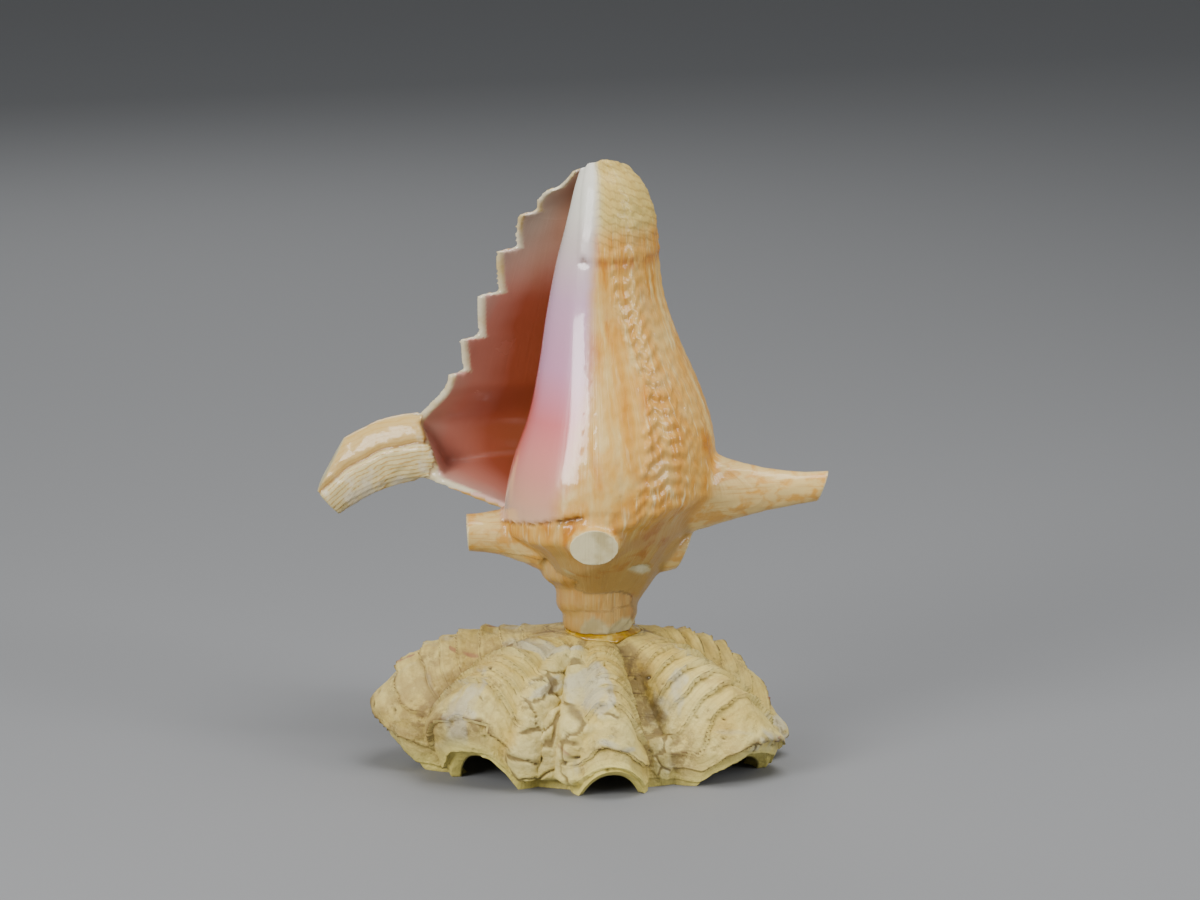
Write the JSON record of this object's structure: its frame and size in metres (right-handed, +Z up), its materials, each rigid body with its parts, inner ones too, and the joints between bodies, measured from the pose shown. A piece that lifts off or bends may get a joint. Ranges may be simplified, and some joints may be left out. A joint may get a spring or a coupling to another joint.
{
  "type": "conch shell on a stand",
  "caption": "Polished queen conch with a saw-toothed lip and cut spines, glued by its ground spire onto an upturned fluted clam valve as its stand",
  "frame": {"origin": "centre of the footprint, on the surface that the valve stands on", "axes": "+Z up along the conch's coil axis, -Y towards the side the aperture faces, +X to the right seen from there"},
  "size_m": [0.2575, 0.1601, 0.304],
  "materials": {
    "lacquered_shell": "gloss",
    "chalky_shell": "matte",
    "amber_resin": "gloss"
  },
  "bodies": {
    "root": {"conch_shell": "lacquered_shell", "clam_shell": "chalky_shell", "glue_bead": "amber_resin"}
  },
  "joints": []
}
